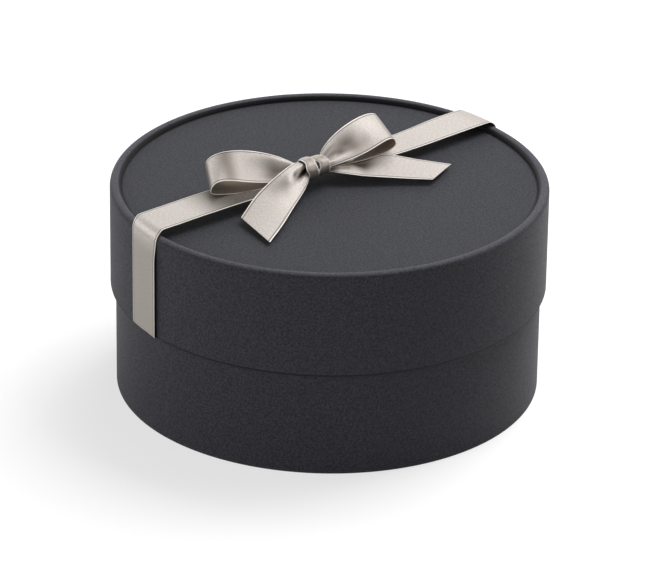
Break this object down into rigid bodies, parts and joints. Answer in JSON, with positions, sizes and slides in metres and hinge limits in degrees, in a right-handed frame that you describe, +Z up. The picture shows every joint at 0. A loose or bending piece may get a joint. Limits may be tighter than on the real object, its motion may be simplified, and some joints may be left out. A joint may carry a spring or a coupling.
{
  "type": "round gift box",
  "caption": "Round lift-off gift box in charcoal paper-wrapped board, with a rolled lid rim and a satin ribbon tied in a bow.",
  "frame": {"origin": "on the table, under the middle of the base", "axes": "+Z up; the ribbon round the lid runs along X, and the front of the box faces -Y"},
  "size_m": [0.2506, 0.25, 0.1466],
  "materials": {
    "charcoal_paper": "matt, finely textured",
    "greyboard": "raw board, hidden by the paper",
    "satin_ribbon": "satin"
  },
  "bodies": {
    "base": {"base_tube": "greyboard", "base_wrap": "charcoal_paper", "base_liner": "charcoal_paper", "base_bottom_board": "greyboard", "base_bottom_paper": "charcoal_paper", "base_floor_paper": "charcoal_paper"},
    "lid": {"lid_tube": "greyboard", "lid_wrap": "charcoal_paper", "lid_liner": "charcoal_paper", "lid_top_board": "greyboard", "lid_top_paper": "charcoal_paper", "lid_ceiling_paper": "charcoal_paper", "ribbon_band": "satin_ribbon", "bow_loop_left": "satin_ribbon", "bow_loop_right": "satin_ribbon", "bow_tail_left": "satin_ribbon", "bow_tail_right": "satin_ribbon", "bow_knot": "satin_ribbon"}
  },
  "joints": [
    {"name": "lid_lift", "type": "slide", "parent": "base", "child": "lid", "axis": [0, 0, 1], "range_m": [0, 0.08]}
  ]
}
